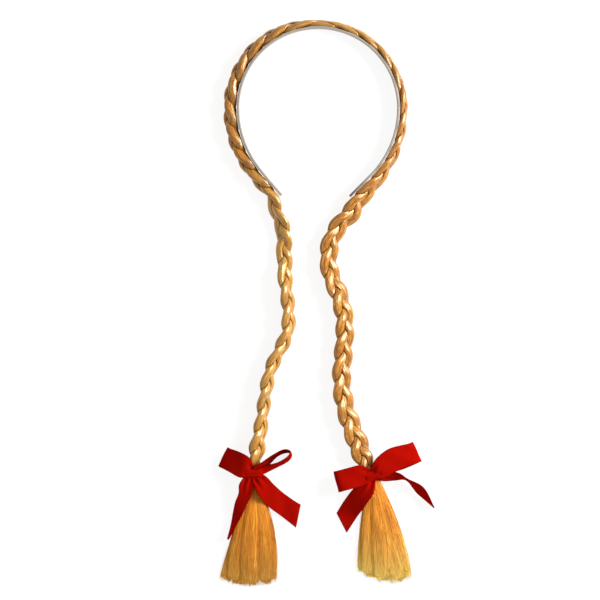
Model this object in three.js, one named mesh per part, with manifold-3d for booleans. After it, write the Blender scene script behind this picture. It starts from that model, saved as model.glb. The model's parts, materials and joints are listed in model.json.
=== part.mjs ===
// Braided hair headband, lying flat. A thin horseshoe band carries a three-strand braid of hair along its
// outside. The braid runs on past both ends of the band as two pigtails, each tied with a ribbon bow and
// ending in a loose tassel. Millimetres, +Z up, +Y towards the crown of the band, +X to its right.
// The tables place the pieces from the centre of the band's round top; the last step moves the whole
// headband so that the origin is in the middle of its footprint.
import * as THREE from 'three';
import { mergeVertices } from 'three/addons/utils/BufferGeometryUtils.js';
import Module from 'manifold-3d';

const wasm = await Module();
wasm.setup();

// Driving dimensions of the band
const HEAD_WIDTH = 126;
const BAND_WIDTH = 12;
const BAND_THICKNESS = 2;
// Below the ears the band turns in more slowly and ends straight
const BAND_SIDES = {
  left: { sign: -1, flankRadius: 78, flankTurn: 40, tip: 25 },
  right: { sign: 1, flankRadius: 76, flankTurn: 45, tip: 23 },
};
const BAND_ARC_STEP = 8; // degrees between two corners of its round part

// Driving dimensions of the braid
const STRANDS = 3;
const SWING = 4.0; // how far a strand swings to either side
const WEAVE = 1.8; // how far it rises and dips as it crosses the others
const LOBE_WIDTH = 4.2; // half width of a strand that nothing presses
const LOBE_DEPTH = 2.3; // half depth of the same strand
const SEAM = 1.5; // clear gap between strands that press on each other
const STRAND_SIDES = 6;
const STRAND_STEPS = 13; // sections in one full turn of the braid
const CROWN_LAP = 0.12; // share of a turn over which the strands run straight where the braiding starts
const PARTING = 0.055; // the braiding starts this share of a turn right of the crown, that far into a turn
const FINE_STEPS = 40; // steps between two rows when the braid's length is measured
const REACH_STEPS = 24; // places in a turn where the braid's size is looked at
const BAND_GAP = 0.3; // between the band and the braid on it
const FLOOR_GAP = 0.1; // the braid's rounded lobes stay this clear of the surface

// Driving dimensions of the ribbon and the tassels
const RIBBON_WIDTH = 17;
const RIBBON_THICKNESS = 1;
const WRAP = { inner: 4.7, outer: 6.0, length: 9, full: 0.8, sides: 12 };
const KNOT_SIZE = { across: 7.5, along: 4.6, deep: 3.0, sunk: 0.8, sides: 8, rows: 6 };
const TASSEL_HEAD = { radius: 4.2, start: 0.5, end: 9, roots: 5, sides: 8 };

// The left pigtail from its knot up to the band. x, y: its middle. lean: how far its face turns from
// straight up towards its left-hand side, seen along the way, in degrees. wide, deep: how full it is.
// pitch: length of one full turn of the braid. lift: extra height.
// This side is braided from the crown downwards, as the right side is, so the two mirror each other.
const LEFT_PIGTAIL = [
  { x: -52.0, y: -292, lean: -45, wide: 0.48, deep: 0.8, pitch: 46, lift: 2.0 },
  { x: -51.0, y: -286, lean: -48, wide: 0.52, deep: 0.84, pitch: 48, lift: 1.8 },
  { x: -49.4, y: -276, lean: -52, wide: 0.86, deep: 0.98, pitch: 50, lift: 0.4 },
  { x: -47.4, y: -264, lean: -55, wide: 0.98, deep: 1.0, pitch: 52, lift: 0 },
  { x: -45.2, y: -250, lean: -58, wide: 0.95, deep: 1.0, pitch: 52, lift: 0 },
  { x: -42.2, y: -228, lean: -60, wide: 0.95, deep: 1.0, pitch: 52, lift: 0 },
  { x: -38.0, y: -209, lean: -60, wide: 0.95, deep: 1.0, pitch: 52, lift: 0 },
  { x: -31.0, y: -194, lean: -58, wide: 0.95, deep: 1.0, pitch: 52, lift: 0 },
  { x: -24.6, y: -179, lean: -58, wide: 0.95, deep: 1.0, pitch: 52, lift: 0 },
  { x: -24.0, y: -160, lean: -58, wide: 0.95, deep: 1.0, pitch: 52, lift: 0 },
  { x: -26.4, y: -138, lean: -52, wide: 0.95, deep: 1.0, pitch: 52, lift: 0 },
  { x: -27.2, y: -116, lean: -5, wide: 0.8, deep: 1.0, pitch: 52, lift: 0 },
  { x: -28.4, y: -97, lean: 42, wide: 0.92, deep: 0.95, pitch: 52, lift: 0 },
  { x: -34.0, y: -82, lean: 50, wide: 0.9, deep: 0.85, pitch: 54, lift: 0 },
];

// The braid on the band, from its left end over the crown to its right end. turn: direction of the band's
// outside, in degrees from the crown. past: distance along the straight end.
const ON_BAND = [
  { side: 'left', turn: -130, past: 20, lean: 66, wide: 0.8, deep: 1.12, pitch: 57 },
  { side: 'left', turn: -130, past: 0, lean: 72, wide: 0.76, deep: 1.25, pitch: 58 },
  { side: 'left', turn: -113, past: 0, lean: 75, wide: 0.75, deep: 1.32, pitch: 58 },
  { side: 'left', turn: -95, past: 0, lean: 76, wide: 0.74, deep: 1.34, pitch: 58 },
  { side: 'left', turn: -75, past: 0, lean: 77, wide: 0.74, deep: 1.3, pitch: 58 },
  { side: 'left', turn: -50, past: 0, lean: 78, wide: 0.74, deep: 1.18, pitch: 58 },
  { side: 'left', turn: -25, past: 0, lean: 81, wide: 0.76, deep: 0.9, pitch: 58 },
  { side: 'right', turn: 0, past: 0, lean: 86, wide: 0.8, deep: 0.66, pitch: 58 },
  { side: 'right', turn: 25, past: 0, lean: 88, wide: 0.8, deep: 0.7, pitch: 58 },
  { side: 'right', turn: 50, past: 0, lean: 88, wide: 0.8, deep: 0.76, pitch: 58 },
  { side: 'right', turn: 75, past: 0, lean: 85, wide: 0.8, deep: 0.8, pitch: 58 },
  { side: 'right', turn: 95, past: 0, lean: 80, wide: 0.8, deep: 0.8, pitch: 58 },
  { side: 'right', turn: 115, past: 0, lean: 72, wide: 0.8, deep: 0.79, pitch: 58 },
  { side: 'right', turn: 135, past: 0, lean: 60, wide: 0.86, deep: 0.78, pitch: 57 },
  { side: 'right', turn: 135, past: 20, lean: 48, wide: 0.92, deep: 0.8, pitch: 56 },
];
const CROWN = LEFT_PIGTAIL.length + ON_BAND.findIndex((row) => row.turn === 0);

// The right pigtail from the band down to its knot, with the left one's columns
const RIGHT_PIGTAIL = [
  { x: 26.4, y: -83, lean: 40, wide: 1.0, deep: 0.9, pitch: 53, lift: 0 },
  { x: 14.6, y: -97, lean: 34, wide: 1.03, deep: 0.95, pitch: 52, lift: 0 },
  { x: 8.8, y: -113, lean: 32, wide: 1.04, deep: 1.0, pitch: 52, lift: 0 },
  { x: 9.6, y: -132, lean: 32, wide: 1.04, deep: 1.0, pitch: 52, lift: 0 },
  { x: 17.0, y: -151, lean: 32, wide: 1.04, deep: 1.0, pitch: 52, lift: 0 },
  { x: 21.2, y: -171, lean: 32, wide: 1.05, deep: 1.0, pitch: 52, lift: 0 },
  { x: 20.2, y: -194, lean: 32, wide: 1.06, deep: 1.0, pitch: 52, lift: 0 },
  { x: 18.6, y: -216, lean: 32, wide: 1.06, deep: 1.0, pitch: 52, lift: 0 },
  { x: 21.2, y: -238, lean: 30, wide: 1.06, deep: 1.0, pitch: 52, lift: 0 },
  { x: 27.8, y: -259, lean: 26, wide: 1.08, deep: 1.0, pitch: 52, lift: 0 },
  { x: 33.2, y: -275, lean: 22, wide: 0.98, deep: 0.98, pitch: 50, lift: 0.4 },
  { x: 38.6, y: -287, lean: 18, wide: 0.52, deep: 0.84, pitch: 48, lift: 2.4 },
  { x: 41.4, y: -293, lean: 15, wide: 0.48, deep: 0.8, pitch: 46, lift: 2.6 },
];

// The bows. heading: direction of each strip from the knot, in degrees from +X. slant: how much longer
// one edge is at a cut end. out, side: place along the heading and to its left. up: height above the
// surface. wide: share of the ribbon's width that is spread out. twist: 0 lies flat, 90 stands on edge.
const LEFT_BOW = {
  knot: { x: -52.0, y: -292, across: -4, offset: 0 },
  strips: [
    { heading: 153, slant: 0, rows: [
      { out: 2, side: -0.5, up: 12.0, wide: 0.6, twist: 0 },
      { out: 8.5, side: -0.6, up: 14.2, wide: 1.0, twist: 0 },
      { out: 17, side: -0.8, up: 12.8, wide: 1.0, twist: 0 },
      { out: 25, side: -0.8, up: 9.2, wide: 1.0, twist: 0 },
      { out: 27.5, side: -0.8, up: 6.4, wide: 1.0, twist: 0 },
      { out: 24.5, side: -0.6, up: 4.6, wide: 1.0, twist: 0 },
      { out: 17, side: -0.4, up: 5.6, wide: 0.9, twist: 0 },
      { out: 9, side: 0, up: 8.2, wide: 0.6, twist: 0 },
      { out: 3, side: 0, up: 9.6, wide: 0.45, twist: 0 },
    ] },
    { heading: 28, slant: 0, rows: [
      { out: 2, side: 1.0, up: 12.4, wide: 0.4, twist: 30 },
      { out: 10, side: 1.6, up: 10.6, wide: 0.66, twist: 60 },
      { out: 21, side: 4.0, up: 9.0, wide: 0.96, twist: 76 },
      { out: 30.5, side: 3.6, up: 8.8, wide: 1.0, twist: 79 },
      { out: 34.5, side: 0.4, up: 8.8, wide: 1.0, twist: 79 },
      { out: 30.5, side: -2.8, up: 8.8, wide: 1.0, twist: 79 },
      { out: 20.5, side: -3.0, up: 8.9, wide: 0.95, twist: 76 },
      { out: 10, side: -1.8, up: 9.9, wide: 0.66, twist: 60 },
      { out: 3, side: -1.0, up: 11.6, wide: 0.4, twist: 40 },
    ] },
    { heading: -102, slant: 0, rows: [
      { out: 3, side: -2.0, up: 12.0, wide: 0.5, twist: 10 },
      { out: 11, side: -3.2, up: 11.8, wide: 0.75, twist: 24 },
      { out: 18, side: -3.6, up: 9.2, wide: 0.78, twist: 46 },
      { out: 26, side: -5.6, up: 6.8, wide: 0.72, twist: 56 },
      { out: 40, side: -7.0, up: 5.8, wide: 0.62, twist: 62 },
      { out: 56, side: -8.8, up: 5.0, wide: 0.52, twist: 84 },
    ] },
    { heading: -43.7, slant: -10, rows: [
      { out: 2, side: 0, up: 12.0, wide: 0.5, twist: 0 },
      { out: 10, side: -1.2, up: 12.8, wide: 0.8, twist: -6 },
      { out: 18, side: -2.6, up: 10.8, wide: 0.9, twist: -8 },
      { out: 28, side: -2.8, up: 5.8, wide: 0.95, twist: -5 },
      { out: 38, side: -1.6, up: 1.7, wide: 0.95, twist: 0 },
      { out: 50, side: 0, up: 0.6, wide: 0.94, twist: 0 },
    ] },
  ],
};
const RIGHT_BOW = {
  knot: { x: 42.0, y: -293.5, across: 14, offset: 2.5 },
  strips: [
    { heading: 193, slant: 0, rows: [
      { out: 0, side: -0.5, up: 12.4, wide: 0.62, twist: 0 },
      { out: 7, side: -1.6, up: 14.6, wide: 0.98, twist: 0 },
      { out: 17, side: -1.4, up: 13.6, wide: 1.0, twist: 0 },
      { out: 25.5, side: -1.2, up: 10.4, wide: 1.0, twist: 0 },
      { out: 28, side: -1.0, up: 7.4, wide: 1.0, twist: 0 },
      { out: 25, side: -0.8, up: 5.4, wide: 1.0, twist: 0 },
      { out: 18, side: -0.4, up: 6.8, wide: 0.85, twist: 0 },
      { out: 10, side: 0, up: 9.4, wide: 0.55, twist: 0 },
      { out: 3, side: 0, up: 9.8, wide: 0.45, twist: 0 },
    ] },
    { heading: 26, slant: 0, rows: [
      { out: 2, side: 0, up: 12.4, wide: 0.58, twist: 0 },
      { out: 9, side: 1.6, up: 14.8, wide: 1.0, twist: 8 },
      { out: 22, side: 2.6, up: 13.6, wide: 1.05, twist: 5 },
      { out: 37.5, side: 1.2, up: 9.8, wide: 1.0, twist: 0 },
      { out: 41.5, side: 0.8, up: 6.6, wide: 1.0, twist: 0 },
      { out: 37.5, side: 0.6, up: 4.2, wide: 1.0, twist: 0 },
      { out: 25, side: 0.5, up: 5.4, wide: 0.9, twist: 0 },
      { out: 12, side: 0.5, up: 8.4, wide: 0.6, twist: 0 },
      { out: 4, side: 0, up: 9.8, wide: 0.45, twist: 0 },
    ] },
    { heading: -122, slant: 9, rows: [
      { out: 2, side: 1.5, up: 12.0, wide: 0.5, twist: 0 },
      { out: 10, side: 2.0, up: 12.6, wide: 0.85, twist: 6 },
      { out: 19, side: 1.4, up: 10.2, wide: 0.95, twist: 8 },
      { out: 28, side: 0.8, up: 5.4, wide: 0.95, twist: 6 },
      { out: 36, side: 0.6, up: 1.6, wide: 0.92, twist: 0 },
      { out: 45, side: 0.6, up: 0.6, wide: 0.9, twist: 0 },
    ] },
    { heading: -30.6, slant: 0, rows: [
      { out: 3, side: 1.0, up: 10.0, wide: 0.45, twist: 20 },
      { out: 11, side: 5.5, up: 8.2, wide: 0.62, twist: 30 },
      { out: 19, side: 9.6, up: 7.0, wide: 0.62, twist: 50 },
      { out: 27, side: 11.4, up: 6.6, wide: 0.6, twist: 80 },
      { out: 41, side: 9.4, up: 6.2, wide: 0.74, twist: 54 },
      { out: 57, side: 3.3, up: 5.0, wide: 0.5, twist: 86 },
    ] },
  ],
};
const STRIP_STEPS = 2; // sections between two rows of a strip

// The tassels, a row for each lock of hair. x, y: its tip, from the knot. bow: how far it bends out on
// the way. wide, deep: its half sizes in the middle. up, down: height of its middle and of its tip.
const LEFT_TASSEL = [
  { x: -22.5, y: -86, bow: 0.5, wide: 5.2, deep: 2.0, up: 3.4, down: 1.3 },
  { x: -12.0, y: -89, bow: -0.5, wide: 6.0, deep: 2.2, up: 3.8, down: 1.4 },
  { x: -2.0, y: -90, bow: 0.0, wide: 6.2, deep: 2.4, up: 4.0, down: 1.5 },
  { x: 8.0, y: -89, bow: 2.5, wide: 6.0, deep: 2.2, up: 3.6, down: 1.4 },
  { x: 14.5, y: -87, bow: 3.0, wide: 4.6, deep: 2.0, up: 2.8, down: 1.3 },
  { x: -16.5, y: -84, bow: 0.0, wide: 4.8, deep: 1.9, up: 5.4, down: 2.8 },
  { x: -4.0, y: -87, bow: -0.5, wide: 5.4, deep: 2.2, up: 6.2, down: 3.2 },
  { x: 10.0, y: -85, bow: 3.0, wide: 4.8, deep: 1.9, up: 5.4, down: 2.8 },
];
const RIGHT_TASSEL = [
  { x: -6.2, y: -78, bow: 1.0, wide: 4.8, deep: 2.0, up: 2.4, down: 1.3 },
  { x: 1.0, y: -82, bow: 0.5, wide: 5.6, deep: 2.2, up: 2.8, down: 1.4 },
  { x: 11.5, y: -85, bow: 2.0, wide: 6.0, deep: 2.4, up: 3.2, down: 1.5 },
  { x: 21.0, y: -86, bow: 0.5, wide: 5.8, deep: 2.2, up: 2.8, down: 1.4 },
  { x: 29.0, y: -83, bow: -0.5, wide: 4.6, deep: 2.0, up: 2.4, down: 1.3 },
  { x: -2.0, y: -77, bow: 0.0, wide: 4.6, deep: 1.9, up: 4.6, down: 2.8 },
  { x: 9.0, y: -81, bow: 1.5, wide: 5.2, deep: 2.2, up: 5.4, down: 3.2 },
  { x: 23.0, y: -80, bow: 0.5, wide: 4.8, deep: 1.9, up: 4.6, down: 2.8 },
];
const LOCK = { sides: 6, steps: 5, root: 0.3, tip: 0.45, belly: 0.55 };

const UP = new THREE.Vector3(0, 0, 1);
const WELD = 1e-4; // corners closer than this are one corner
const radians = THREE.MathUtils.degToRad;

// A closed body through rings of equally many points, each ring counter-clockwise about the way forward.
// Each four-sided patch folds along the diagonal that lies further in, so that pressed strands stay apart.
function lofted(rings) {
  const sides = rings[0].length;
  const last = (rings.length - 1) * sides;
  const corners = rings.flat();
  const faces = [];
  for (let ring = 0; ring < rings.length - 1; ring += 1) {
    for (let side = 0; side < sides; side += 1) {
      const here = ring * sides + side;
      const beside = ring * sides + ((side + 1) % sides);
      const [right, ahead, across] = [beside, here + sides, beside + sides]
        .map((index) => corners[index].clone().sub(corners[here]));
      if (right.cross(ahead).dot(across) > 0) {
        faces.push(here, beside, here + sides, beside, beside + sides, here + sides);
      } else {
        faces.push(here, beside, beside + sides, here, beside + sides, here + sides);
      }
    }
  }
  for (let side = 1; side < sides - 1; side += 1) {
    faces.push(0, side + 1, side, last, last + side, last + side + 1);
  }
  const geometry = new THREE.BufferGeometry();
  const points = corners.flatMap((corner) => corner.toArray());
  geometry.setAttribute('position', new THREE.Float32BufferAttribute(points, 3));
  geometry.setIndex(faces);
  return geometry;
}

function toSolid(geometry) {
  const bare = geometry.clone();
  bare.deleteAttribute('normal');
  bare.deleteAttribute('uv');
  const merged = mergeVertices(bare, WELD);
  return new wasm.Manifold(new wasm.Mesh({
    numProp: 3,
    vertProperties: new Float32Array(merged.attributes.position.array),
    triVerts: new Uint32Array(merged.index.array),
  }));
}

function toGeometry(solid) {
  const mesh = solid.getMesh();
  const geometry = new THREE.BufferGeometry();
  geometry.setAttribute('position', new THREE.Float32BufferAttribute(mesh.vertProperties, 3));
  geometry.setIndex(new THREE.Uint32BufferAttribute(mesh.triVerts, 1));
  return geometry;
}

const fused = (geometries) => geometries.map(toSolid).reduce((whole, piece) => whole.add(piece));

// A curve through the rows' values in three named columns
const curveThrough = (rows, names) => new THREE.CatmullRomCurve3(
  rows.map((row) => new THREE.Vector3(...names.map((name) => row[name]))), false, 'catmullrom');

// A point of the band's inner face, raised by an offset along its outside, and that outside direction
function onBand({ side, turn, past }, offset) {
  const { sign, flankRadius } = BAND_SIDES[side];
  const angle = radians(turn);
  const outside = new THREE.Vector3(Math.sin(angle), Math.cos(angle), 0);
  const crownRadius = HEAD_WIDTH / 2;
  const point = outside.clone().multiplyScalar(crownRadius + offset);
  if (Math.abs(turn) > 90) {
    const shift = flankRadius - crownRadius;
    point.copy(outside).multiplyScalar(flankRadius + offset);
    point.x -= sign * shift;
  }
  const onward = new THREE.Vector3(outside.y, -outside.x, 0).multiplyScalar(sign);
  return { point: point.addScaledVector(onward, past), outside };
}

// The band: a strip on edge, its outline walked along the outside and back along the inside
function bandGeometry() {
  const walk = [];
  for (const [side, { sign, flankTurn, tip }] of Object.entries(BAND_SIDES)) {
    const rows = [];
    const turns = Math.round((90 + flankTurn) / BAND_ARC_STEP);
    for (let step = 0; step <= turns; step += 1) {
      rows.push({ side, turn: sign * step * (90 + flankTurn) / turns, past: 0 });
    }
    rows.push({ side, turn: sign * (90 + flankTurn), past: tip });
    walk.push(sign < 0 ? rows.slice(1).reverse() : rows);
  }
  const rows = walk.flat();
  const corner = (row, offset) => new THREE.Vector2().copy(onBand(row, offset).point);
  const rounding = BAND_THICKNESS / 4;
  const ends = [rows[0], rows[rows.length - 1]].map((row) => ({ ...row, past: row.past + rounding }));
  const outline = new THREE.Shape([
    corner(ends[0], rounding), corner(ends[0], BAND_THICKNESS - rounding),
    ...rows.map((row) => corner(row, BAND_THICKNESS)),
    corner(ends[1], BAND_THICKNESS - rounding), corner(ends[1], rounding),
    ...rows.map((row) => corner(row, 0)).reverse(),
  ]);
  return new THREE.ExtrudeGeometry(outline, { depth: BAND_WIDTH, bevelEnabled: false });
}

// Half the braid's size in a direction between its width (turned 0) and its depth (turned 90)
function braidReach({ wide, deep }, turned) {
  const across = wide * Math.cos(turned);
  const through = deep * Math.sin(turned);
  let swing = 0;
  for (let step = 0; step < REACH_STEPS; step += 1) {
    const middle = strandMiddle(step / REACH_STEPS, 0);
    swing = Math.max(swing, middle.x * across + middle.y * through);
  }
  return swing + Math.hypot(LOBE_WIDTH * across, LOBE_DEPTH * through);
}

// The middle of the whole braid, with its height worked out so that it rests on the surface
function braidRows() {
  const seated = ON_BAND.map((row) => {
    const reach = braidReach(row, radians(row.lean));
    const { point } = onBand(row, BAND_THICKNESS + BAND_GAP + reach);
    return { ...row, x: point.x, y: point.y, lift: 0 };
  });
  return [...LEFT_PIGTAIL, ...seated, ...RIGHT_PIGTAIL].map((row) => {
    const height = braidReach(row, radians(90 - row.lean));
    return { ...row, z: height + FLOOR_GAP + row.lift };
  });
}

// Stations along the braid at equal shares of its turns. The turning starts from the crown on both sides.
function braidStations() {
  const rows = braidRows();
  const middle = curveThrough(rows, ['x', 'y', 'z']);
  const fullness = curveThrough(rows, ['wide', 'deep', 'lean']);
  const pitches = curveThrough(rows, ['pitch', 'pitch', 'pitch']);
  const spans = rows.length - 1;
  const stations = [];
  let laps = 0;
  let crownLaps = 0;
  let before = middle.getPoint(0);
  for (let step = 0; step <= FINE_STEPS * spans; step += 1) {
    const t = step / (FINE_STEPS * spans);
    const point = middle.getPoint(t);
    laps += point.distanceTo(before) / pitches.getPoint(t).x;
    before = point;
    crownLaps = step === FINE_STEPS * CROWN ? laps : crownLaps;
    if (laps >= stations.length / STRAND_STEPS || t === 1) {
      const forward = middle.getTangent(t);
      const [wide, deep, lean] = fullness.getPoint(t).toArray();
      const leftward = new THREE.Vector3().crossVectors(UP, forward).normalize();
      const upward = new THREE.Vector3().crossVectors(forward, leftward);
      const angle = radians(lean);
      const across = leftward.clone().multiplyScalar(Math.cos(angle)).addScaledVector(upward, -Math.sin(angle));
      const through = leftward.clone().multiplyScalar(Math.sin(angle)).addScaledVector(upward, Math.cos(angle));
      stations.push({ point, across, through, wide, deep, laps });
    }
  }
  return stations.map((station) => {
    const turns = PARTING + Math.hypot(station.laps - crownLaps - PARTING, CROWN_LAP);
    return { ...station, turns };
  });
}

// Middle of one strand in the braid's section, before the section is scaled to its fullness
function strandMiddle(turns, strand) {
  const phase = 2 * Math.PI * (turns + strand / STRANDS);
  return new THREE.Vector2(SWING * Math.sin(phase), WEAVE * Math.sin(2 * phase));
}

// One strand: an oval that is flattened wherever it presses on the other two
function strandGeometry(stations, strand) {
  const others = [1, 2].map((step) => (strand + step) % STRANDS);
  const rings = stations.map((station) => {
    const own = strandMiddle(station.turns, strand);
    const ring = [];
    for (let side = 0; side < STRAND_SIDES; side += 1) {
      const angle = 2 * Math.PI * side / STRAND_SIDES;
      const oval = new THREE.Vector2(LOBE_WIDTH * Math.cos(angle), LOBE_DEPTH * Math.sin(angle));
      const free = oval.length();
      const direction = oval.clone().normalize();
      const reaches = others.map((other) => {
        const away = strandMiddle(station.turns, other).sub(own);
        const facing = direction.dot(away) / away.length();
        return facing > 0 ? (away.length() - SEAM) / (2 * facing) : free;
      });
      const at = own.clone().addScaledVector(direction, Math.min(free, ...reaches));
      ring.push(station.point.clone()
        .addScaledVector(station.across, at.x * station.wide)
        .addScaledVector(station.through, at.y * station.deep));
    }
    return ring;
  });
  return lofted(rings);
}

// One strip of a bow's ribbon, from the knot outwards
function stripGeometry({ x, y }, { heading, slant, rows }) {
  const angle = radians(heading);
  const ahead = new THREE.Vector3(Math.cos(angle), Math.sin(angle), 0);
  const left = new THREE.Vector3(-Math.sin(angle), Math.cos(angle), 0);
  const way = curveThrough(rows, ['out', 'side', 'up']);
  const spread = curveThrough(rows, ['wide', 'twist', 'twist']);
  const steps = STRIP_STEPS * (rows.length - 1);
  const rings = [];
  for (let step = 0; step <= steps; step += 1) {
    const [out, side, up] = way.getPoint(step / steps).toArray();
    const [wide, twist] = spread.getPoint(step / steps).toArray();
    const run = way.getTangent(step / steps);
    const forward = ahead.clone().multiplyScalar(run.x).addScaledVector(left, run.y).addScaledVector(UP, run.z);
    const middle = new THREE.Vector3(x, y, up).addScaledVector(ahead, out).addScaledVector(left, side);
    const across = left.clone().multiplyScalar(Math.cos(radians(twist))).addScaledVector(UP, Math.sin(radians(twist)));
    const face = new THREE.Vector3().crossVectors(forward, across).normalize();
    const cut = step === steps ? slant : 0;
    const half = RIBBON_WIDTH * wide / 2;
    rings.push([[1, -1], [1, 1], [-1, 1], [-1, -1]].map(([edge, skin]) => middle.clone()
      .addScaledVector(across, edge * half)
      .addScaledVector(face, skin * RIBBON_THICKNESS / 2)
      .addScaledVector(ahead, edge * cut / 2)));
  }
  return lofted(rings);
}

// A turned piece about the braid's end, with its own +Y along the hair
function aboutHair(geometry, { x, y }, bound) {
  const turn = new THREE.Matrix4().makeRotationZ(Math.atan2(bound.y, bound.x) - Math.PI / 2);
  return geometry.applyMatrix4(turn.setPosition(x, y, WRAP.outer));
}

// A bow: wrap, knot, loops and tails fused, with the hole that the hair passes through
function bowGeometry({ knot, strips }, bound) {
  const { inner, outer, length, full, sides } = WRAP;
  const half = length / 2;
  const profile = [[inner, -half], [outer, -half * full], [outer, half * full], [inner, half], [inner, -half]];
  const wrap = new THREE.LatheGeometry(profile.map(([r, h]) => new THREE.Vector2(r, h)), sides);
  const lump = new THREE.SphereGeometry(1, KNOT_SIZE.sides, KNOT_SIZE.rows);
  lump.scale(KNOT_SIZE.across, KNOT_SIZE.along, KNOT_SIZE.deep);
  lump.rotateZ(radians(knot.across));
  lump.translate(knot.x + knot.offset, knot.y, 2 * outer - KNOT_SIZE.sunk);
  const bore = new THREE.CylinderGeometry(inner, inner, 3 * length, sides);
  const ribbon = fused([aboutHair(wrap, knot, bound), lump, ...strips.map((strip) => stripGeometry(knot, strip))]);
  return toGeometry(ribbon.subtract(toSolid(aboutHair(bore, knot, bound))));
}

// One lock of loose hair: a flat oval that swells from the bound head and thins to its tip
function lockGeometry(knot, lock, bound) {
  const root = new THREE.Vector3(knot.x, knot.y, WRAP.outer).addScaledVector(bound, TASSEL_HEAD.roots);
  const tip = new THREE.Vector3(knot.x + lock.x, knot.y + lock.y, lock.down);
  const aside = new THREE.Vector3().crossVectors(UP, tip.clone().sub(root)).normalize();
  const belly = root.clone().lerp(tip, LOCK.belly).addScaledVector(aside, lock.bow).setZ(lock.up);
  const way = new THREE.CatmullRomCurve3([root, belly, tip], false, 'catmullrom');
  const rings = [];
  for (let step = 0; step <= LOCK.steps; step += 1) {
    const t = step / LOCK.steps;
    const forward = way.getTangent(t);
    const across = new THREE.Vector3().crossVectors(UP, forward).normalize();
    const above = new THREE.Vector3().crossVectors(forward, across);
    const swell = Math.sin(Math.PI * Math.min(t / LOCK.belly, 1) / 2);
    const thin = Math.max(0, (t - LOCK.belly) / (1 - LOCK.belly));
    const size = LOCK.root + (1 - LOCK.root) * swell - (1 - LOCK.tip) * thin * thin;
    const ring = [];
    for (let side = 0; side < LOCK.sides; side += 1) {
      const angle = 2 * Math.PI * side / LOCK.sides;
      ring.push(way.getPoint(t)
        .addScaledVector(across, lock.wide * size * Math.cos(angle))
        .addScaledVector(above, lock.deep * size * Math.sin(angle)));
    }
    rings.push(ring);
  }
  return lofted(rings);
}

function tasselGeometry({ knot }, locks, bound) {
  const { radius, start, end, sides } = TASSEL_HEAD;
  const head = new THREE.CylinderGeometry(radius, radius, end - start, sides);
  head.translate(0, (start + end) / 2, 0);
  const pieces = locks.map((lock) => lockGeometry(knot, lock, bound));
  return toGeometry(fused([aboutHair(head, knot, bound), ...pieces]));
}

const plastic = new THREE.MeshStandardMaterial({ color: 0xcfc8be, roughness: 0.45, metalness: 0 });
const hair = new THREE.MeshStandardMaterial({ color: 0xc08228, roughness: 0.4, metalness: 0 });
const satin = new THREE.MeshStandardMaterial({ color: 0xbe0f0c, roughness: 0.5, metalness: 0 });

const headband = new THREE.Group();

function add(name, geometry, material) {
  const mesh = new THREE.Mesh(geometry, material);
  mesh.name = name;
  headband.add(mesh);
}

const stations = braidStations();
const leftBound = stations[0].point.clone().sub(stations[1].point).setZ(0).normalize();
const rightBound = stations.at(-1).point.clone().sub(stations.at(-2).point).setZ(0).normalize();

add('head_band', bandGeometry(), plastic);
for (let strand = 0; strand < STRANDS; strand += 1) {
  add(`braid_strand_${strand + 1}`, strandGeometry(stations, strand), hair);
}
add('left_bow', bowGeometry(LEFT_BOW, leftBound), satin);
add('right_bow', bowGeometry(RIGHT_BOW, rightBound), satin);
add('left_tassel', tasselGeometry(LEFT_BOW, LEFT_TASSEL, leftBound), hair);
add('right_tassel', tasselGeometry(RIGHT_BOW, RIGHT_TASSEL, rightBound), hair);

// The origin goes under the middle of the whole headband
const footprint = new THREE.Box3().setFromObject(headband);
const middle = footprint.getCenter(new THREE.Vector3());
headband.position.set(-middle.x, -middle.y, -footprint.min.z);

export default headband;
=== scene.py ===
# %% [markdown]
# # A braided hair headband, dressed in Blender
# The part is a thin plastic horseshoe that carries a three-strand plait of golden synthetic hair along
# its outside. The plait runs on past both ends of the horseshoe as two pigtails. Each pigtail is tied
# with a red satin bow and ends in a loose tassel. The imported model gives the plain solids, in metres with
# +Z up. This lesson gives every piece its finished surface around that fixed frame, and moves or resizes
# nothing.

# %% Load the frame
import json
import math

import bmesh
import bpy
import numpy as np
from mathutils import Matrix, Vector


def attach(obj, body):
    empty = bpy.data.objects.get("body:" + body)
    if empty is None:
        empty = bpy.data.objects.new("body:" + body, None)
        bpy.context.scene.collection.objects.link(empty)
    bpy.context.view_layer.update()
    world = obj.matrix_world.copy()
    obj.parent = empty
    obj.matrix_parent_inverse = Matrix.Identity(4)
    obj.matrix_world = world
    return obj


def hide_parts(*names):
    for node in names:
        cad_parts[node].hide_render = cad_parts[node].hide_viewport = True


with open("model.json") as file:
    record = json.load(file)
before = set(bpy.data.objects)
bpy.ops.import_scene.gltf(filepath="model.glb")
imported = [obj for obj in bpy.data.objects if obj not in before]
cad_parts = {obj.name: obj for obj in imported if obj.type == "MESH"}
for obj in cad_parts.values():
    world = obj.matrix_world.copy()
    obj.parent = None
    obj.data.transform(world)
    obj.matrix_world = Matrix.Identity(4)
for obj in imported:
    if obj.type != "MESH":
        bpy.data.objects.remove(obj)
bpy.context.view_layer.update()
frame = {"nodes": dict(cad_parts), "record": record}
print("frame nodes:", sorted(frame["nodes"]))

# %% [markdown]
# ## Where things are
# Lengths in the tables are in millimetres, single sizes in metres. Places are counted from the middle of
# the band's round top or from a bow's knot, because that is how a maker would measure a headband. The
# frame's origin is somewhere else, under the middle of the whole part. The mount named rest lies in
# the band's thickness at the crown, so it tells where the middle of the round top is.

# %% The middle of the band's round top
MM = 0.001
HEAD_WIDTH = 0.126
BAND_WIDTH = 0.012
BAND_THICKNESS = 0.002
crown_mount = next(m for m in frame["record"]["mounts"] if m["name"] == "rest")
HEAD_MIDDLE = np.array(crown_mount["pos_m"]) - [0, (HEAD_WIDTH + BAND_THICKNESS) / 2, 0]
print("middle of the round top:", HEAD_MIDDLE.round(4))

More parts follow.
